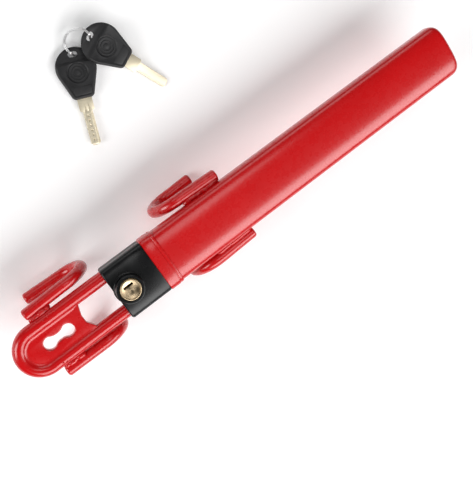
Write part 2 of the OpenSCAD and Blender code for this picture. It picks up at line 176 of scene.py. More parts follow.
def turned_metal(name, light, dark, rough, axis):
    """Metal faced on a lathe: fine rings about the given axis through the origin."""
    mat, nodes, links, shader = new_material(name)
    vector = object_coords(nodes, links)
    rings = nodes.new("ShaderNodeTexWave")
    rings.wave_type = "RINGS"
    rings.rings_direction = axis
    rings.inputs["Scale"].default_value = 420.0
    rings.inputs["Distortion"].default_value = 0.6
    rings.inputs["Detail"].default_value = 2.0
    links.new(vector, rings.inputs["Vector"])
    cloud = noise_node(nodes, links, vector, 220.0, 4.0)
    links.new(ramp(nodes, links, cloud, [(0.35, dark), (0.65, light)]), shader.inputs["Base Color"])
    links.new(ramp(nodes, links, cloud, [(0.2, grey(rough)), (0.8, grey(rough + 0.05))]),
              shader.inputs["Roughness"])
    add_bump(nodes, links, shader, rings.outputs["Fac"], 0.012, 0.00003)
    tangent = nodes.new("ShaderNodeTangent")
    tangent.direction_type = "RADIAL"
    tangent.axis = axis
    links.new(tangent.outputs["Tangent"], shader.inputs["Tangent"])
    shader.inputs["Anisotropic"].default_value = 0.7
    shader.inputs["Metallic"].default_value = 1.0
    return mat


def black_plastic():
    """Moulded black plastic with a fine spark-eroded texture."""
    mat, nodes, links, shader = new_material("key_bow_plastic")
    vector = object_coords(nodes, links)
    tone = noise_node(nodes, links, vector, 90.0, 4.0)
    links.new(ramp(nodes, links, tone, [(0.3, (0.0075, 0.0075, 0.0085)), (0.7, (0.013, 0.013, 0.014))]),
              shader.inputs["Base Color"])
    links.new(ramp(nodes, links, tone, [(0.2, grey(0.46)), (0.8, grey(0.58))]),
              shader.inputs["Roughness"])
    grain = noise_node(nodes, links, vector, 1900.0, 3.0)
    add_bump(nodes, links, shader, grain, 0.22, 0.0003)
    return mat


def floor_material():
    """Near-white sweep, a little self-lit so that it stays pale between the lights."""
    mat, nodes, links, shader = new_material("studio_floor")
    vector = object_coords(nodes, links)
    tone = noise_node(nodes, links, vector, 3.0, 2.0)
    links.new(ramp(nodes, links, tone, [(0.3, grey(0.95)), (0.7, grey(0.96))]),
              shader.inputs["Base Color"])
    shader.inputs["Roughness"].default_value = 0.75
    shader.inputs["Emission Color"].default_value = (1.0, 1.0, 1.0, 1.0)
    shader.inputs["Emission Strength"].default_value = 0.12
    shader.inputs["Specular IOR Level"].default_value = 0.2
    return mat


def rod_finish():
    """Chromed bar whose head end is painted red: the paint stops where the bar enters the housing."""
    mat, nodes, links, shader = new_material("chromed_bar_painted_head")
    paint_end = -0.0143
    fade = 0.0006
    vector = object_coords(nodes, links)
    split = nodes.new("ShaderNodeSeparateXYZ")
    links.new(vector, split.inputs["Vector"])
    ragged = noise_node(nodes, links, vector, 500.0, 3.0)
    edge = nodes.new("ShaderNodeMath")
    edge.operation = "MULTIPLY_ADD"
    edge.inputs[1].default_value = fade
    links.new(ragged, edge.inputs[0])
    links.new(split.outputs["X"], edge.inputs[2])
    painted = nodes.new("ShaderNodeMapRange")
    painted.inputs["From Min"].default_value = paint_end
    painted.inputs["From Max"].default_value = paint_end + fade
    painted.inputs["To Min"].default_value = 1.0
    painted.inputs["To Max"].default_value = 0.0
    links.new(edge.outputs["Value"], painted.inputs["Value"])
    mask = painted.outputs["Result"]
    red = red_colour(nodes, links, vector)
    streak = noise_node(nodes, links, object_coords(nodes, links, (0.12, 1, 1)), 500.0, 4.0)
    chrome = ramp(nodes, links, streak, [(0.3, grey(0.62)), (0.7, grey(0.74))])
    mix = nodes.new("ShaderNodeMix")
    mix.data_type = "RGBA"
    links.new(mask, mix.inputs["Factor"])
    # Sockets 6 and 7 are the colour A and B, and output 2 the colour result
    links.new(chrome, mix.inputs[6])
    links.new(red, mix.inputs[7])
    links.new(mix.outputs[2], shader.inputs["Base Color"])
    metal = nodes.new("ShaderNodeMath")
    metal.operation = "SUBTRACT"
    metal.inputs[0].default_value = 1.0
    links.new(mask, metal.inputs[1])
    links.new(metal.outputs["Value"], shader.inputs["Metallic"])
    links.new(ramp(nodes, links, streak, [(0.2, grey(0.20)), (0.8, grey(0.30))]),
              shader.inputs["Roughness"])
    orange_peel(nodes, links, shader, vector)
    shader.inputs["Coat Weight"].default_value = 0.4
    shader.inputs["Coat Roughness"].default_value = 0.16
    return mat


# ---------------------------------------------------------------- mesh tools

def build(name, verts, faces, material, body, slot, replaces=(), angle=35):
    """Makes a mesh object from lists, shades it smooth by angle, and hangs it on its body."""
    mesh = bpy.data.meshes.new(name)
    mesh.from_pydata([tuple(v) for v in verts], [], faces)
    work = bmesh.new()
    work.from_mesh(mesh)
    bmesh.ops.remove_doubles(work, verts=work.verts, dist=1e-7)
    bmesh.ops.recalc_face_normals(work, faces=work.faces)
    work.to_mesh(mesh)
    work.free()
    piece = bpy.data.objects.new(name, mesh)
    bpy.context.scene.collection.objects.link(piece)
    mesh.materials.append(material)
    shade(piece, angle)
    if body:
        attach(piece, body)
    if replaces:
        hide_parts(*replaces)
    return piece


def shade(piece, angle=35):
    """Smooth shading, with edges sharper than the angle kept crisp."""
    work = bmesh.new()
    work.from_mesh(piece.data)
    limit = math.radians(angle)
    for face in work.faces:
        face.smooth = True
    for edge in work.edges:
        edge.smooth = not (len(edge.link_faces) == 2 and edge.calc_face_angle(0) > limit)
    work.to_mesh(piece.data)
    work.free()


def loft(rings, closed=False):
    """Skins rings of equal length. An open loft is capped at both ends, a closed one is a loop."""
    count = len(rings[0])
    verts = [v for ring in rings for v in ring]
    faces = []
    last = len(rings) if closed else len(rings) - 1
    for i in range(last):
        a, b = i * count, ((i + 1) % len(rings)) * count
        for k in range(count):
            m = (k + 1) % count
            faces.append((a + k, a + m, b + m, b + k))
    if not closed:
        faces.append(tuple(range(count))[::-1])
        faces.append(tuple((len(rings) - 1) * count + k for k in range(count)))
    return verts, faces


def merge(*parts):
    """Joins (verts, faces) pairs into one."""
    verts, faces = [], []
    for part_verts, part_faces in parts:
        base = len(verts)
        verts += list(part_verts)
        faces += [tuple(base + i for i in face) for face in part_faces]
    return verts, faces


def sweep(path, radii, sides=32):
    """Round bar along a path, with a radius for each point, closed at both ends."""
    path = [Vector(p) for p in path]
    tangents = []
    for i in range(len(path)):
        a, b = path[max(i - 1, 0)], path[min(i + 1, len(path) - 1)]
        tangents.append((b - a).normalized())
    side = tangents[0].cross(Vector((0, 0, 1)))
    if side.length < 0.2:
        side = tangents[0].cross(Vector((0, 1, 0)))
    side.normalize()
    rings = []
    for i, point in enumerate(path):
        side = (side - tangents[i] * side.dot(tangents[i])).normalized()
        up = side.cross(tangents[i])
        ring = []
        for k in range(sides):
            a = 2 * math.pi * k / sides
            ring.append(point + (side * math.cos(a) + up * math.sin(a)) * radii[i])
        rings.append(ring)
    return loft(rings)


def lathe(profile, sides=96, centre=(0, 0)):
    """Turns (radius, z) points about a vertical axis. The profile is a closed loop of points."""
    rings = []
    for k in range(sides):
        a = 2 * math.pi * k / sides
        rings.append([Vector((centre[0] + r * math.cos(a), centre[1] + r * math.sin(a), z))
                      for r, z in profile])
    return loft(rings, closed=True)


def arc(cx, cy, r, start, end, steps):
    """Points on an arc, with its angles in degrees."""
    return [(cx + r * math.cos(math.radians(mid(start, end, i / steps))),
             cy + r * math.sin(math.radians(mid(start, end, i / steps))))
            for i in range(steps + 1)]


def apply_modifiers(piece):
    """Replaces a piece's mesh with the one that its modifiers give."""
    bpy.context.view_layer.update()
    depsgraph = bpy.context.evaluated_depsgraph_get()
    result = bpy.data.meshes.new_from_object(piece.evaluated_get(depsgraph))
    piece.modifiers.clear()
    old = piece.data
    piece.data = result
    bpy.data.meshes.remove(old)


def combine(piece, other, operation="DIFFERENCE"):
    """Boolean with another object, applied, and that object removed."""
    modifier = piece.modifiers.new("combine", "BOOLEAN")
    modifier.operation = operation
    modifier.solver = "EXACT"
    modifier.object = other
    apply_modifiers(piece)
    bpy.data.objects.remove(other, do_unlink=True)


def cut(piece, cutter):
    combine(piece, cutter)


def soften(piece, width, segments=3, angle=50):
    """Rounds the sharp edges with a bevel, applied, and shades the result."""
    modifier = piece.modifiers.new("soft", "BEVEL")
    modifier.width = width
    modifier.segments = segments
    modifier.limit_method = "ANGLE"
    modifier.angle_limit = math.radians(angle)
    modifier.use_clamp_overlap = True
    apply_modifiers(piece)
    shade(piece, 40)


def cutter_object(verts, faces):
    """Plain object for combine or cut, which remove it after use."""
    mesh = bpy.data.meshes.new("cutter")
    mesh.from_pydata([tuple(v) for v in verts], [], faces)
    work = bmesh.new()
    work.from_mesh(mesh)
    bmesh.ops.recalc_face_normals(work, faces=work.faces)
    work.to_mesh(mesh)
    work.free()
    piece = bpy.data.objects.new("cutter", mesh)
    bpy.context.scene.collection.objects.link(piece)
    return piece


def bar_x(x0, x1, y, z, r, sides=64):
    """Round bar along X."""
    rings = []
    for x in (x0, x1):
        rings.append([Vector((x, y + r * math.cos(2 * math.pi * k / sides),
                              z + r * math.sin(2 * math.pi * k / sides))) for k in range(sides)])
    return loft(rings)


def prism(outline, z0, z1):
    """Upright prism over a flat outline of (x, y) points."""
    return loft([[Vector((x, y, z0)) for x, y in outline], [Vector((x, y, z1)) for x, y in outline]])


def soft_section(half_w, half_h, side_power, top_power, count=96):
    """Closed (y, z) outline of a rounded bar with a gentle crown, centred on the rods' height."""
    points = []
    for k in range(count):
        a = 2 * math.pi * k / count
        c, s = math.cos(a), math.sin(a)
        reach = (abs(c) ** side_power + abs(s) ** top_power) ** (-1 / ((side_power + top_power) / 2))
        points.append((c * reach, s * reach))
    widest = max(abs(p[0]) for p in points)
    tallest = max(abs(p[1]) for p in points)
    return [(y / widest * half_w, ROD_Z + z / tallest * half_h) for y, z in points]


def turn(profile, sides=96, centre=(0, 0)):
    """Solid of revolution: the profile starts and ends on the vertical axis."""
    middle = profile[1:-1]
    rings = []
    for r, z in middle:
        rings.append([Vector((centre[0] + r * math.cos(2 * math.pi * k / sides),
                              centre[1] + r * math.sin(2 * math.pi * k / sides), z))
                      for k in range(sides)])
    return loft(rings)


def disc_profile(r, z0, z1):
    """Profile of a plain cylinder, for turn."""
    return [(0.0, z0), (r, z0), (r, z1), (0.0, z1)]


def rectangle(x0, x1, y0, y1):
    return [(x0, y0), (x1, y0), (x1, y1), (x0, y1)]


def section_ring(x, section, scale_y=1.0, scale_z=1.0):
    """Section set at an X, shrunk about its centre."""
    return [Vector((x, y * scale_y, ROD_Z + (z - ROD_Z) * scale_z)) for y, z in section]


def finish(piece, material, body, slot, *nodes):
    """Material, body and replaced nodes of a piece that was cut to shape first. The slot is not used."""
    piece.data.materials.clear()
    piece.data.materials.append(material)
    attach(piece, body)
    if nodes:
        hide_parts(*nodes)


# ---------------------------------------------------------------- the handle

HANDLE_HALF_W = 0.02975
HANDLE_HALF_H = 0.013
TUBE_WALL = 0.0013
# How square each section is at its sides and at its top, for soft_section
HANDLE_POWERS = (4.3, 2.6)
COLLAR_POWERS = (4.8, 2.8)
END_CORNER = 0.011
END_EDGE = 0.005


def handle_shell(paint):
    """Pressed tube, closed at the far end with rounded corners and edges."""
    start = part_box("handle_tube")[0][0]
    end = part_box("end_cap")[1][0]
    outer = soft_section(HANDLE_HALF_W, HANDLE_HALF_H, *HANDLE_POWERS)
    inner = soft_section(HANDLE_HALF_W - TUBE_WALL, HANDLE_HALF_H - TUBE_WALL, *HANDLE_POWERS)
    rings = [section_ring(x, outer) for x in (start, start + 0.03, mid(start, end), end - 0.03,
                                              end - END_CORNER)]
    steps = 14
    for i in range(1, steps + 1):
        a = math.radians(90 * i / steps)
        x = end - END_CORNER + END_CORNER * math.sin(a)
        shrink_y = END_CORNER * (1 - math.cos(a))
        depth = max(0.0, (x - (end - END_EDGE)) / END_EDGE)
        shrink_z = END_EDGE * (1 - math.sqrt(max(0.0, 1 - depth * depth)))
        rings.append(section_ring(x, outer, 1 - shrink_y / HANDLE_HALF_W,
                                  1 - shrink_z / HANDLE_HALF_H))
    rings_in = [section_ring(x, inner) for x in (start, mid(start, end), end - END_CORNER)]
    verts, faces = loft(rings)
    verts_in, faces_in = loft(rings_in)
    count = len(outer)
    # Open the front: the two front caps give way to one rim between outer and inner wall
    faces = [f for f in faces if not (len(f) == count and 0 in f)]
    faces_in = [f for f in faces_in if not (len(f) == count and 0 in f)]
    verts_all, faces_all = merge((verts, faces), (verts_in, faces_in))
    base = len(verts)
    faces_all += [(k, (k + 1) % count, base + (k + 1) % count, base + k) for k in range(count)]
    return build("handle_shell", verts_all, faces_all, paint, "handle", "red_paint",
                 ("handle_tube", "end_cap"), 40)


def collar_band(paint):
    """Welded band round the front of the tube: bevelled front edge, groove and step at the rear."""
    low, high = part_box("collar")
    x0, x1 = low[0], high[0]
    half_w, half_h = (high[1] - low[1]) / 2, (high[2] - low[2]) / 2
    bore = soft_section(HANDLE_HALF_W, HANDLE_HALF_H, *HANDLE_POWERS)
    # Places along X, each with how far the band stands in from its box, in millimetres
    profile = [(x0, -0.9), (x0 + 0.0007, -0.15), (x0 + 0.0016, 0.0), (x1 - 0.0052, 0.0),
               (x1 - 0.0044, -0.15), (x1 - 0.0040, -0.55), (x1 - 0.0034, -0.60),
               (x1 - 0.0029, -0.30), (x1 - 0.0020, -0.25), (x1 - 0.0008, -0.5), (x1, -0.95)]
    rings = []
    for x, inset in profile:
        inset *= MM
        rings.append(section_ring(x, soft_section(half_w + inset, half_h + inset, *COLLAR_POWERS)))
    rings.append(section_ring(x1, bore))
    rings.append(section_ring(x0, bore))
    verts, faces = loft(rings, closed=True)
    return build("collar_band", verts, faces, paint, "handle", "red_paint", ("collar",), 32)


# ---------------------------------------------------------------- hooks

def hook_path(length_weld, length_free, weld_lean, free_lean):
    """Centre line of a U-bent hook in its own frame: bend centre at the origin, bend towards +X."""
    soft = 0.006

    def sideways(x, lean):
        """Lean of a leg, eased in over its first few millimetres."""
        return lean * (math.sqrt(x * x + soft * soft) - soft)

    path = []
    steps = 16
    for i in range(steps):
        x = -length_weld * (1 - i / steps)
        path.append((x, -sideways(x, weld_lean), HOOK_BEND_R))
    bend_steps = 32
    for i in range(bend_steps + 1):
        a = math.radians(90 - 180 * i / bend_steps)
        path.append((HOOK_BEND_R * math.cos(a), 0, HOOK_BEND_R * math.sin(a)))
    for i in range(1, steps + 1):
        x = -length_free * i / steps
        path.append((x, sideways(x, free_lean), -HOOK_BEND_R))
    return path


def rounded_ends(path, radius, edge=0.0026, steps=5):
    """Adds points and radii at both ends of a path, so that the bar's ends have a rolled edge."""
    points = [Vector(p) for p in path]

    def cap(end, toward):
        direction = (end - toward).normalized()
        extra = []
        for i in range(steps + 1):
            a = math.radians(90 * i / steps)
            extra.append((end - direction * edge * (1 - math.sin(a)), radius - edge * (1 - math.cos(a))))
        return extra

    first = cap(points[0], points[1])[::-1]
    last = cap(points[-1], points[-2])
    middle = [(p, radius) for p in points[1:-1]]
    joined = first + middle + last
    return [p for p, r in joined], [r for p, r in joined]


def place(verts, bend_x, side, hook_y, facing):
    """Moves a hook from its own frame to the lock: facing is +1 for the head, -1 for the handle."""
    centre_z = HOOK_Z - HOOK_BEND_R
    return [Vector((bend_x + facing * v[0], side * (hook_y + v[1]), centre_z + v[2])) for v in verts]


def weld_bead(start, end, radius, seed, lumps):
    """Run of weld metal between two points: overlapping rounded beads of uneven size."""
    start, end = Vector(start), Vector(end)
    steps = lumps * 8
    rng = random.Random(seed)
    swell = [rng.uniform(0.86, 1.12) for _ in range(lumps + 2)]
    drift = [Vector((0, rng.uniform(-1, 1), rng.uniform(-1, 1))) * radius * 0.12
             for _ in range(lumps + 2)]
    path, radii = [], []
    for i in range(steps + 1):
        t = i / steps
        k = min(int(t * lumps), lumps)
        blend = (1 - math.cos(math.pi * (t * lumps - k))) / 2
        ripple = math.sin(math.pi * t * lumps) ** 2
        taper = math.sin(math.pi / 2 * min(1.0, 7 * t, 7 * (1 - t)))
        path.append(start.lerp(end, t) + drift[k].lerp(drift[k + 1], blend))
        radii.append(radius * (0.3 + 0.7 * taper) * (0.9 + 0.1 * ripple)
                     * mid(swell[k], swell[k + 1], blend))
    return sweep(path, radii, 20)


def spatter(centres, radius, seed):
    """Small drops of weld metal."""
    rng = random.Random(seed)
    parts = []
    for centre in centres:
        work = bmesh.new()
        size = radius * rng.uniform(0.6, 1.2)
        bmesh.ops.create_icosphere(work, subdivisions=2, radius=size)
        verts = [v.co * (1 + 0.18 * noise.noise(v.co * 900)) + Vector(centre) for v in work.verts]
        faces = [tuple(v.index for v in f.verts) for f in work.faces]
        work.free()
        parts.append((verts, faces))
    return merge(*parts)


def hook(name, node, body, side, facing, paint):
    """One hook with its weld, built round its CAD node's own box."""
    low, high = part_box(node)
    head = facing > 0
    reach = HOOK_BEND_R + HOOK_R
    bend_x = high[0] - reach if head else low[0] + reach
    free = HEAD_FREE_LEG if head else HANDLE_FREE_LEG
    lean = math.tan(HOOK_SPLAY)
    # The head hook on the right stands closer to its rod than the other three
    snug = 0.0013 if head and side < 0 else 0.0
    hook_y = (HEAD_HOOK_Y if head else HANDLE_HOOK_Y) - snug
    path, radii = rounded_ends(hook_path(WELD_LEG, free, lean - snug / WELD_LEG, lean + snug / free),
                               HOOK_R)
    verts, faces = sweep(path, radii, 40)
    verts = place(verts, bend_x, side, hook_y, facing)
    weld_end = bend_x - facing * WELD_LEG
    near = weld_end + facing * 0.0012
    far = weld_end + facing * (0.026 if head else 0.046)
    # Where the top and bottom beads run, as (y, z), in the valleys between the bar and its neighbour
    seams = ((0.0292, 0.0134), (0.0284, 0.0082)) if head else ((0.0312, 0.0128), (0.0306, 0.0064))
    parts = [(verts, faces)]
    for k, (seam_y, seam_z) in enumerate(seams):
        width = 0.0034 if head and k == 0 else 0.0028
        parts.append(weld_bead((near, side * seam_y, seam_z), (far, side * (seam_y + 0.0008), seam_z),
                               width, 3 + side + 5 * facing + 10 * k, 5 if head else 8))
    if head:
        rng = random.Random(40 + side)
        drops = []
        for _ in range(7):
            x = rng.uniform(near, far + 0.006)
            y = rng.uniform(0.0228, 0.0262)
            drops.append((x, side * y, ROD_Z + math.sqrt(ROD_R ** 2 - (y - ROD_Y) ** 2)))
        parts.append(spatter(drops, 0.0008, 60 + side))
    verts, faces = merge(*parts)
    return build(name, verts, faces, paint, body, "red_paint", (node,), 40)


# ---------------------------------------------------------------- the head

def head_web(paint):
    """Plate between the rods, with a dog-bone hole, blended into the rods by broad fillets."""
    half_t = 0.004
    inner = ROD_Y - ROD_R
    front_y, rear_y = -0.0050, 0.0035
    outline = [(-0.0530, rear_y), (-0.0495, inner), (-0.0495, inner + 0.002)]
    outline += arc(ROD_BEND_X, 0, ROD_Y - 0.003, 90, 270, 40)
    outline += [(-0.0468, -inner - 0.002), (-0.0468, -inner), (-0.0530, front_y)]
    verts, faces = prism(outline, ROD_Z - half_t, ROD_Z + half_t)
    plate = build("head_web", verts, faces, paint, None, None)
    hole_r, neck, fillet = 0.00675, 0.0040, 0.010
    left, right = -0.0928, -0.0717
    # The neck runs into each lobe through a large fillet
    reach = math.sqrt((hole_r + fillet) ** 2 - (neck + fillet) ** 2)
    tilt = math.degrees(math.atan2(neck + fillet, reach))
    bone = arc(left, 0, hole_r, tilt, 360 - tilt, 40)
    bone += arc(left + reach, -neck - fillet, fillet, 180 - tilt, 90, 10)
    bone += arc(right - reach, -neck - fillet, fillet, 90, tilt, 10)
    bone += arc(right, 0, hole_r, tilt - 180, 180 - tilt, 40)
    bone += arc(right - reach, neck + fillet, fillet, -tilt, -90, 10)
    bone += arc(left + reach, neck + fillet, fillet, -90, tilt - 180, 10)
    cut(plate, cutter_object(*prism(bone[:-1], ROD_Z - 0.01, ROD_Z + 0.01)))
    soften(plate, 0.0013, 4)
    fillets = [web_fillet(up, half_t) for up in (1, -1)]
    seams = build("head_web_fillets", *merge(*fillets), paint, "rods", "red_paint", (), 50)
    finish(plate, paint, "rods", "red_paint", "head_plate")
    return plate, seams


def web_fillet(up, half_t):
    """Concave fillet between the plate and the rods, on one side of the plate, round the whole bend."""
    r = 0.0060
    reach = ROD_R + r
    lift = half_t + r
    run = math.sqrt(reach * reach - lift * lift)
    touch = math.degrees(math.atan2(lift, run))
    # Cross-section as (distance inwards from the rod's axis, height): fillet arc, then buried back
    section = arc(run, lift, r, 180 + touch, 270, 12)
    section = [(max(t, 0.0), z) for t, z in section]
    buried = half_t - 0.0010
    section += [(run, buried), (ROD_R * 0.45, buried)]
    stations = []
    straight = 14
    for i in range(straight + 1):
        stations.append(((mid(-0.0490, ROD_BEND_X, i / straight), ROD_Y), (0, -1)))
    bend_steps = 48
    for k in range(1, bend_steps):
        a = math.radians(90 + 180 * k / bend_steps)
        stations.append(((ROD_BEND_X + ROD_Y * math.cos(a), ROD_Y * math.sin(a)),
                         (-math.cos(a), -math.sin(a))))
    for i in range(straight + 1):
        stations.append(((mid(ROD_BEND_X, -0.0465, i / straight), -ROD_Y), (0, 1)))
    # The first and last stations are drawn together about the section's root, as a weld tails off
    root = ROD_R * 0.62
    rings = []
    for k, ((x, y), (nx, ny)) in enumerate(stations):
        ends = min(k, len(stations) - 1 - k)
        grow = (0.35, 0.8, 1.0)[min(ends, 2)]
        ring = []
        for t, z in section:
            t = root + (t - root) * grow
            z = half_t - 0.0010 + (z - half_t + 0.0010) * grow
            ring.append(Vector((x + nx * t, y + ny * t, ROD_Z + up * z)))
        rings.append(ring)
    return loft(rings)


# ---------------------------------------------------------------- the lock housing

HOUSING_HALF_W = 0.02975
HOUSING_HALF_H = 0.014
HOUSING_POWERS = (6.5, 3.6)
BOSS_R = 0.0145
SHELL_R = 0.0126
BOSS_TOP = 0.0375
BOSS_FOOT_R = 0.0012
BOSS_EDGE_R = 0.0011
SPIGOT_HALF_W = 0.0126
SPIGOT_HALF_H = 0.0115
SPIGOT_END = 0.058


def housing(coat):
    """Die-cast block with round front corners and a boss, bored for the rods and the cylinder."""
    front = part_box("lock_housing")[0][0]
    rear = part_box("collar")[0][0]
    corner, edge = 0.0027, 0.0016
    section = soft_section(HOUSING_HALF_W, HOUSING_HALF_H, *HOUSING_POWERS)
    rings = []
    steps = 12
    for i in range(steps + 1):
        a = math.radians(90 * i / steps)
        x = front + corner * (1 - math.sin(a))
        shrink_y = corner * (1 - math.cos(a))
        depth = max(0.0, 1 - (x - front) / edge)
        shrink_z = edge * (1 - math.sqrt(max(0.0, 1 - depth * depth)))
        rings.append(section_ring(x, section, 1 - shrink_y / HOUSING_HALF_W,
                                  1 - shrink_z / HOUSING_HALF_H))
    rings.sort(key=lambda ring: ring[0].x)
    rings += [section_ring(x, section) for x in (mid(front, rear), rear - 0.0012)]
    rings.append(section_ring(rear, section, 0.985, 0.965))
    block = build("lock_housing_cast", *loft(rings), coat, None, None)
    top = 2 * HOUSING_HALF_H
    # The boss, with a small fillet at its foot and a soft top edge
    foot_r = BOSS_R + BOSS_FOOT_R
    boss = [(0.0, top - 0.006), (foot_r, top - 0.006), (foot_r, top - 0.0006)]
    boss += arc(foot_r, top + BOSS_FOOT_R, BOSS_FOOT_R, 270, 180, 6)
    boss += arc(BOSS_R - BOSS_EDGE_R, BOSS_TOP - BOSS_EDGE_R, BOSS_EDGE_R, 0, 90, 8)
    boss += [(0.0, BOSS_TOP)]
    combine(block, cutter_object(*turn(boss)), "UNION")
    spigot = rectangle(rear - 0.002, SPIGOT_END, -SPIGOT_HALF_W, SPIGOT_HALF_W)
    combine(block, cutter_object(*prism(spigot, ROD_Z - SPIGOT_HALF_H, ROD_Z + SPIGOT_HALF_H)), "UNION")
    # Seat of the cylinder, leaving a lip with a broken edge over its outer shell
    seat = [(0.0, 0.010), (SHELL_R, 0.010), (SHELL_R, 0.03585), (0.0111, 0.03585),
            (0.0111, BOSS_TOP - 0.0005), (0.0117, BOSS_TOP + 0.0001), (0.0117, BOSS_TOP + 0.001),
            (0.0, BOSS_TOP + 0.001)]
    cut(block, cutter_object(*turn(seat)))
    # Rod bores, with a countersunk mouth
    bore_r = ROD_R + 0.0001
    for side in (1, -1):
        mouth = [(0.0, front - 0.001), (0.0079, front - 0.001), (0.0079, front + 0.00002),
                 (bore_r, front + 0.0008), (bore_r, rear + 0.001), (0.0, rear + 0.001)]
        verts, faces = turn(mouth)
        verts = [Vector((v.z, side * ROD_Y + v.x, ROD_Z + v.y)) for v in verts]
        cut(block, cutter_object(verts, faces))
    # Pockets for the back cover, the bolt and its spring, as x, y and z ranges
    pockets = [((-0.0105, 0.031), (-0.023, 0.023), (-0.001, 0.00205)),
               ((-0.0043, 0.0252), (-0.0135, 0.001), (-0.001, 0.0064)),
               ((0.0165, 0.0255), (-0.0183, 0.0127), (0.0005, 0.0185))]
    for (x0, x1), (y0, y1), (z0, z1) in pockets:
        cut(block, cutter_object(*prism(rectangle(x0, x1, y0, y1), z0, z1)))
    cut(block, cutter_object(*turn(disc_profile(0.0119, -0.001, 0.0102))))
    # Cover screw holes, then the cross pin holes through the spigot
    for x in (-0.0075, 0.027):
        for y in (-0.0185, 0.0185):
            cut(block, cutter_object(*turn(disc_profile(0.00152, 0.001, 0.0056), 32, (x, y))))
    for y in (-0.008, 0.008):
        cut(block, cutter_object(*turn(disc_profile(0.00202, -0.001, 0.029), 32, (0.046, y))))
    shade(block, 32)
    finish(block, coat, "handle", "black_housing", "lock_housing")
    return block


# ---------------------------------------------------------------- the key plug

KEYWAY_Y = 0.0046
KEYWAY_HALF_L = 0.0053
KEYWAY_HALF_W = 0.0013


def keyway_outline():
    """Slot for the blade, with a ward on each long side, as (x, y) points."""
    x, y0, y1 = KEYWAY_HALF_L, KEYWAY_Y - KEYWAY_HALF_W, KEYWAY_Y + KEYWAY_HALF_W
    ward = 0.0004
    return [(-x, y0), (-0.0036, y0), (-0.0034, y0 + ward), (-0.0028, y0 + ward), (-0.0026, y0),
            (x, y0), (x, y1), (0.0036, y1), (0.0034, y1 - ward), (0.0028, y1 - ward), (0.0026, y1),
            (-x, y1)]


def key_plug(face_metal):
    """Brass plug: a head with a coned, ringed face, the body behind it, and the keyway."""
    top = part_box("lock_plug")[1][2]
    head_r = 0.01075
    head_z = 0.0359
    profile = [(0.0, 0.0094), (0.008, 0.0094), (0.008, head_z), (head_r, head_z)]
    profile += arc(head_r - 0.0006, top - 0.0006, 0.0006, 0, 90, 5)
    profile += arc(0.0095, top - 0.0003, 0.0003, 90, 180, 3)
    profile += [(0.0090, top - 0.00055), (0.0062, top - 0.0011), (0.0060, top - 0.00118),
                (0.0030, top - 0.00125), (0.0, top - 0.0013)]
    plug = build("lock_plug_face", *turn(profile, 128), face_metal, None, None)
    tail = rectangle(-0.0025, 0.0025, -0.0025, 0.0025)
    combine(plug, cutter_object(*prism(tail, 0.0065, 0.0104)), "UNION")
    cut(plug, cutter_object(*prism(keyway_outline(), 0.0114, top + 0.001)))
    # Pin bores, from the side, and the screw's hole in the tail
    for z in (0.014, 0.018, 0.022, 0.026, 0.030):
        verts, faces = turn(disc_profile(0.001, -0.002, 0.014), 24)
        verts = [Vector((v.x, -v.z, z + v.y)) for v in verts]
        cut(plug, cutter_object(verts, faces))
    cut(plug, cutter_object(*turn(disc_profile(0.00125, 0.0055, 0.0105), 32)))
    shade(plug, 24)
    finish(plug, face_metal, "plug", "brass", "lock_plug")
    return plug


# ---------------------------------------------------------------- the keys

KEY_FLOOR = HOOK_Z - 2 * HOOK_BEND_R - HOOK_R
KEY_A = (Matrix.Translation((0.0888, 0.197, KEY_FLOOR + 0.0002))
         @ Matrix.Rotation(math.radians(-110.5), 4, "Z"))
KEY_B = (Matrix.Translation((0.1264, 0.2036, KEY_FLOOR + 0.010))
         @ Matrix.Rotation(math.radians(-63.7), 4, "Z") @ Matrix.Rotation(math.radians(9.9), 4, "Y"))
BOW_R = 0.021
BOW_X = -0.005
BOW_END = 0.027
ROOT_START = BOW_END - 0.014
BOW_T = 0.009
TAB_END = -0.013
TAB_T = 0.0024
SLOT_X = -0.0187
SHOULDER_END = 0.040
BLADE_END = 0.076
BLADE_HALF_W = 0.005
BLADE_T = 0.0024
SHOULDER_HALF_W = 0.0075
SHOULDER_HALF_T = 0.0017


def bow_outline(inset=0.0):
    """Round bow drawn out into a flat end towards the blade, as (x, y) points."""
    r = BOW_R - inset
    corner_r = max(0.0008, 0.005 - inset)
    corner_x, corner_y = BOW_END - inset - corner_r, 0.012 - inset - corner_r
    # Tangent from the bow's circle to the corner circle
    dx, dy = corner_x - BOW_X, corner_y
    tilt = math.degrees(math.atan2(dy, dx) + math.acos((r - corner_r) / math.hypot(dx, dy)))
    points = arc(BOW_X, 0, r, tilt, 360 - tilt, 64)
    points += arc(corner_x, -corner_y, corner_r, -tilt, 0, 10)
    points += arc(corner_x, corner_y, corner_r, 0, tilt, 10)
    return points


def layered(levels):
    """Solid skinned over (outline, z) levels of equal point count."""
    return loft([[Vector((x, y, z)) for x, y in outline] for outline, z in levels])


def ring_relief(r_in, r_out, z0, z1, edge):
    """Raised flat ring with broken edges, about the key's badge."""
    return lathe([(r_in, z0), (r_out, z0), (r_out, z1 - edge), (r_out - edge, z1),
                  (r_in + edge, z1), (r_in, z1 - edge)], 72)


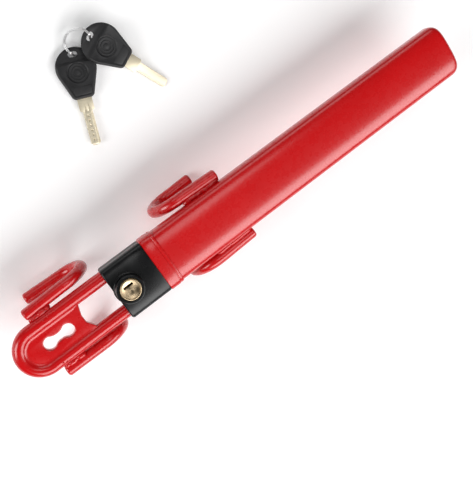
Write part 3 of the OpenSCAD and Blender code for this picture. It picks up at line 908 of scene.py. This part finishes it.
def key_bow(name, node, body, where, plastic):
    """Moulded bow: bevelled rim, thin tab with the ring's slot, dished badge and a raised panel."""
    levels = []
    rim_in, rim_down, steps = 0.0021, 0.0030, 7
    for i in range(steps + 1):
        a = math.pi / 2 * i / steps
        levels.append((bow_outline(rim_in * (1 - math.sin(a))), rim_down * (1 - math.cos(a))))
    levels = [(bow_outline(rim_in + 0.0004), 0.00025)] + levels
    levels += [(outline, BOW_T - z) for outline, z in levels[::-1]]
    bow = build(name, *layered(levels), plastic, None, None)
    # The tab: both faces sink towards it in a soft slope
    drop = (BOW_T - TAB_T) / 2
    for up in (1, -1):
        slope = [(-0.03, drop), (TAB_END, drop)]
        slope += [(TAB_END + 0.0052 * k / 10, drop * (1 + math.cos(math.pi * k / 10)) / 2)
                  for k in range(1, 10)]
        slope += [(TAB_END + 0.0052, 0.0), (TAB_END + 0.0056, -0.002), (-0.03, -0.002)]
        outer = BOW_T if up > 0 else 0.0
        cutter = loft([[Vector((x, y, outer - up * z)) for x, z in slope] for y in (-0.03, 0.03)])
        cut(bow, cutter_object(*cutter))
    reach, slot_r = 0.00225, 0.00275
    slot_shape = arc(SLOT_X, reach, slot_r, 0, 180, 16) + arc(SLOT_X, -reach, slot_r, 180, 360, 16)
    cut(bow, cutter_object(*prism(slot_shape, -0.001, BOW_T + 0.001)))
    for up in (1, -1):
        # Round dish with rings, and a raised panel on the way to the blade
        face = BOW_T - 0.00025 if up > 0 else 0.00025
        dish = [(0.0, face - up * 0.0012), (0.0098, face - up * 0.0012),
                (0.0104, face - up * 0.0010), (0.0113, face - up * 0.0001),
                (0.0124, face + up * 0.0010), (0.0, face + up * 0.0010)]
        if up < 0:
            dish = dish[::-1]
        cut(bow, cutter_object(*turn(dish, 72)))
    # Mortise for the blade's root and shoulder
    root = rectangle(ROOT_START, BOW_END + 0.001, -0.00501, 0.00501)
    cut(bow, cutter_object(*prism(root, BOW_T / 2 - 0.00121, BOW_T / 2 + 0.00121)))
    soften(bow, 0.0003, 2, 50)
    details = []
    for up in (1, -1):
        face = BOW_T - 0.00145 if up > 0 else 0.00145
        for r_in, r_out, tall in ((0.0079, 0.0092, 0.0007), (0.0048, 0.0060, 0.0006),
                                  (0.0, 0.0028, 0.0006)):
            top = face + up * tall
            base = face - up * 0.0002
            if r_in:
                details.append(ring_relief(r_in, r_out, min(base, top), max(base, top), 0.0002))
            else:
                details.append(turn(disc_profile(r_out, min(base, top), max(base, top)), 64))
        panel = [(0.0145, -0.0108), (0.0232, -0.0082), (0.0232, 0.0082), (0.0145, 0.0108)]
        inner = [(0.0156, -0.0094), (0.0222, -0.0073), (0.0222, 0.0073), (0.0156, 0.0094)]
        level = BOW_T - 0.0006 if up > 0 else 0.0006
        details.append(loft([[Vector((x, y, level)) for x, y in panel],
                             [Vector((x, y, level + up * 0.0004)) for x, y in panel],
                             [Vector((x, y, level + up * 0.0007)) for x, y in inner]]))
    badge = build(name + "_relief", *merge(*details), plastic, None, None)
    soften(badge, 0.00012, 2, 30)
    bow.data.transform(where)
    badge.data.transform(where)
    finish(bow, plastic, body, "black_plastic", node)
    finish(badge, plastic, body, "black_plastic")
    return bow, badge


def key_blade(name, node, body, where, metal, cut_face):
    """Flat dimple blade: shoulder, chamfered edges and tip, a groove each side, dimples on one face."""
    mid_z = BOW_T / 2
    half = BLADE_T / 2
    w, e = BLADE_HALF_W, 0.00035

    def blade_ring(x, half_w, half_t):
        return [Vector((x, y, mid_z + z)) for y, z in
                ((half_w, half_t - e), (half_w - e, half_t), (e - half_w, half_t),
                 (-half_w, half_t - e), (-half_w, e - half_t), (e - half_w, -half_t),
                 (half_w - e, -half_t), (half_w, e - half_t))]

    sections = [(ROOT_START, w, half), (BLADE_END - 0.0024, w, half),
                (BLADE_END - 0.0007, w - 0.0016, half - 0.0001), (BLADE_END, w - 0.0026, half - 0.0006)]
    blade = build(name, *loft([blade_ring(*s) for s in sections]), metal, None, None)
    shoulder = [(BOW_END - 0.0002, -SHOULDER_HALF_W), (SHOULDER_END - 0.0012, -SHOULDER_HALF_W),
                (SHOULDER_END, -0.0064), (SHOULDER_END, 0.0064),
                (SHOULDER_END - 0.0012, SHOULDER_HALF_W), (BOW_END - 0.0002, SHOULDER_HALF_W)]
    combine(blade, cutter_object(*prism(shoulder, mid_z - SHOULDER_HALF_T, mid_z + SHOULDER_HALF_T)),
            "UNION")
    # Two notches in the shoulder, on the dimpled face
    for y in (0.0021, -0.0017):
        wedge = [(SHOULDER_END - 0.0075, y), (SHOULDER_END + 0.001, y - 0.0009),
                 (SHOULDER_END + 0.001, y + 0.0009)]
        face = mid_z + cut_face * SHOULDER_HALF_T
        cut(blade, cutter_object(*prism(wedge, min(face - cut_face * 0.0006, face + cut_face * 0.001),
                                        max(face - cut_face * 0.0006, face + cut_face * 0.001))))
    start, stop = SHOULDER_END + 0.002, BLADE_END + 0.001
    top, low = mid_z + half, mid_z - half
    for y, z, up in ((cut_face * 0.0031, top, 1), (cut_face * -0.0031, low, -1)):
        groove = [Vector((0, y - 0.0006, z + up * 0.0005)), Vector((0, y - 0.0004, z - up * 0.0006)),
                  Vector((0, y + 0.0004, z - up * 0.0006)), Vector((0, y + 0.0006, z + up * 0.0005))]
        verts, faces = loft([[p + Vector((x, 0, 0)) for p in groove] for x in (start, stop)])
        cut(blade, cutter_object(verts, faces))
    for k, depth in enumerate((0.0007, 0.0009, 0.0006, 0.0008, 0.0007, 0.0009)):
        x = SHOULDER_END + 0.005 + 0.005 * k
        cone = turn([(0.0, -depth), (0.0004, -depth), (0.0016, 0.0004), (0.0, 0.0004)], 28)
        verts = [Vector((x + v.x, v.y - 0.0006, mid_z + cut_face * (half + v.z))) for v in cone[0]]
        cut(blade, cutter_object(verts, cone[1]))
    soften(blade, 0.00016, 2, 38)
    blade.data.transform(where)
    finish(blade, metal, body, "key_nickel", node)
    return blade


def key_ring(metal):
    """Split ring of two close turns of wire through both keys."""
    slot_a = KEY_A @ Vector((SLOT_X, 0, BOW_T / 2))
    slot_b = KEY_B @ Vector((SLOT_X, 0, BOW_T / 2))
    centre = (slot_a + slot_b) / 2
    flat = Vector((slot_b.x - slot_a.x, slot_b.y - slot_a.y, 0))
    chord = flat.length
    along = flat / chord
    out = Vector((-along.y, along.x, 0))
    ring_r, lift, ease, wire = 0.0128, 0.0032, 0.0016, 0.00062
    # Where the ring leaves one slot's height for the other's, as (middle, half width) along the chord
    lean_at, lean_half = 0.0065, 0.0038
    offset = math.sqrt(ring_r * ring_r - chord * chord / 4)
    rise = (slot_b.z - slot_a.z) / 2
    steps, sides = 180, 14

    def point(angle, spread):
        u = ring_r * math.cos(angle)
        v = offset + ring_r * math.sin(angle)
        lean = max(-1.0, min(1.0, (u - lean_at) / lean_half))
        up = rise * math.sin(math.pi / 2 * lean) + lift * v / math.sqrt(v * v + ease * ease)
        wide = 1 + spread / ring_r
        return (centre + along * (u * wide) + out * (offset + ring_r * math.sin(angle) * wide)
                + Vector((0, 0, up)))

    turns = []
    for spread in (-wire, wire):
        rings = []
        for i in range(steps):
            angle = 2 * math.pi * i / steps
            forward = (point(angle + 0.01, spread) - point(angle - 0.01, spread)).normalized()
            side = forward.cross(Vector((0, 0, 1))).normalized()
            up = side.cross(forward)
            rings.append([point(angle, spread) + (side * math.cos(t) + up * math.sin(t)) * wire
                          for t in (2 * math.pi * k / sides for k in range(sides))])
        turns.append(loft(rings, closed=True))
    return build("key_ring_wire", *merge(*turns), metal, "key_set", "chrome_ring", ("key_ring",), 60)


# ---------------------------------------------------------------- inside the handle

def stop_block(metal):
    """Guide block on the rods' tails: a sliding fit in the tube, bored for both rods."""
    low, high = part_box("rod_stop")
    slack = 0.0004
    section = soft_section(HANDLE_HALF_W - TUBE_WALL - slack, HANDLE_HALF_H - TUBE_WALL - slack,
                           *HANDLE_POWERS)
    block = build("rod_stop_block", *loft([section_ring(x, section) for x in (low[0], high[0])]),
                  metal, None, None)
    for side in (1, -1):
        cut(block, cutter_object(*bar_x(low[0] - 0.001, high[0] + 0.001, side * ROD_Y, ROD_Z, ROD_R)))
    finish(block, metal, "rods", "steel", "rod_stop")


# ---------------------------------------------------------------- building everything

RED = red_paint()
BLACK = black_coat()
CHROME = brushed_metal("ring_chrome", grey(0.84), grey(0.76), 0.30, (1, 1, 1), 0.01)
NICKEL = brushed_metal("key_nickel", (0.78, 0.71, 0.55), (0.72, 0.65, 0.49), 0.42, (1, 1, 0.2), 0.02)
BRASS_FACE = turned_metal("brass_face", (0.66, 0.51, 0.33), (0.60, 0.46, 0.29), 0.27, "Z")
BRASS = brushed_metal("brass_drawn", (0.78, 0.58, 0.28), (0.62, 0.44, 0.18), 0.28, (1, 1, 0.15))
STEEL = brushed_metal("zinc_steel", grey(0.62), grey(0.44), 0.28, (0.2, 1, 1))
SPRING = brushed_metal("spring_wire", grey(0.70), grey(0.55), 0.22, (1, 1, 1))
SCREW = brushed_metal("screw_black_zinc", grey(0.20), grey(0.13), 0.32, (1, 1, 1))
PLASTIC = black_plastic()
ROD = rod_finish()

handle_shell(RED)
collar_band(RED)
hook("head_hook_left_bar", "head_hook_left", "rods", 1, 1, RED)
hook("head_hook_right_bar", "head_hook_right", "rods", -1, 1, RED)
hook("handle_hook_left_bar", "handle_hook_left", "handle", 1, -1, RED)
hook("handle_hook_right_bar", "handle_hook_right", "handle", -1, -1, RED)
head_web(RED)
housing(BLACK)
key_plug(BRASS_FACE)
key_bow("key_a_moulding", "key_a_bow", "key_a", KEY_A, PLASTIC)
key_bow("key_b_moulding", "key_b_bow", "key_b", KEY_B, PLASTIC)
key_blade("key_a_steel", "key_a_blade", "key_a", KEY_A, NICKEL, 1)
key_blade("key_b_steel", "key_b_blade", "key_b", KEY_B, NICKEL, -1)
key_ring(CHROME)
stop_block(STEEL)

# The CAD nodes that stay, with their finishes
FINISHES = {"twin_rod": ROD, "housing_cover": BLACK, "cover_screws": SCREW, "housing_pins": STEEL,
            "cylinder_shell": BRASS, "driver_pins": BRASS, "pin_springs": SPRING,
            "bolt_spring": SPRING, "key_pins": BRASS, "cam_disc": STEEL, "cam_screw": SCREW,
            "lock_bolt": STEEL, "bolt_pin": STEEL, "stop_screws": SCREW}
for node_name, node_finish in FINISHES.items():
    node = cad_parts[node_name]
    node.data.materials.clear()
    node.data.materials.append(node_finish)


# ---------------------------------------------------------------- floor, light and camera

def flat_panel(name, size_x, size_y, where, material):
    """One flat face, for the stage."""
    verts = [(-size_x / 2, -size_y / 2, 0), (size_x / 2, -size_y / 2, 0),
             (size_x / 2, size_y / 2, 0), (-size_x / 2, size_y / 2, 0)]
    mesh = bpy.data.meshes.new(name)
    mesh.from_pydata(verts, [], [(0, 1, 2, 3)])
    panel = bpy.data.objects.new(name, mesh)
    panel.location = where
    bpy.context.scene.collection.objects.link(panel)
    mesh.materials.append(material)
    return panel


def area_light(name, where, target, size, power):
    """Soft box at a place, turned to a target. The size is in metres, the power in watts."""
    lamp = bpy.data.lights.new(name, "AREA")
    lamp.shape = "RECTANGLE"
    lamp.size, lamp.size_y = size
    lamp.energy = power
    light = bpy.data.objects.new(name, lamp)
    light.location = where
    light.rotation_euler = (Vector(target) - Vector(where)).to_track_quat("-Z", "Y").to_euler()
    bpy.context.scene.collection.objects.link(light)
    return light


FLOOR_Z = KEY_FLOOR - 0.0002
flat_panel("floor", 6.0, 6.0, (0.13, 0, FLOOR_Z), floor_material())

MIDDLE = (0.15, 0.0, 0.0)
area_light("right_softbox", (0.30, -1.5, 1.4), MIDDLE, (3.0, 1.2), 56)
area_light("left_softbox", (-1.8, 0.7, 1.2), MIDDLE, (1.2, 1.2), 28)
area_light("back_softbox", (0.7, 1.9, 1.3), MIDDLE, (2.2, 0.8), 9)
area_light("key_top_light", (0.28, 0.29, 1.5), (0.15, 0.2, 0.0), (0.5, 0.5), 1.8)

world = bpy.data.worlds.new("studio")
world.use_nodes = True
background = world.node_tree.nodes["Background"]
background.inputs["Color"].default_value = (1.0, 1.0, 1.0, 1.0)
background.inputs["Strength"].default_value = 0.06
bpy.context.scene.world = world
bpy.context.scene.view_settings.view_transform = "Standard"

camera_data = bpy.data.cameras.new("camera")
camera_data.sensor_fit = "HORIZONTAL"
camera_data.sensor_width = 36
camera_data.lens = 60.77
camera_data.shift_x = 0.0154
camera_data.shift_y = -0.0711
camera_data.clip_start = 0.01
camera = bpy.data.objects.new("camera", camera_data)
right = Vector((0.78791, -0.54404, 0.28848))
up = Vector((0.59070, 0.80010, -0.10446))
back = right.cross(up)
turned = Matrix((right, up, back)).transposed().to_4x4()
CAMERA_AT = (-0.01295, 0.20763, 0.79599)
camera.matrix_world = Matrix.Translation(CAMERA_AT) @ turned
bpy.context.scene.collection.objects.link(camera)
bpy.context.scene.camera = camera
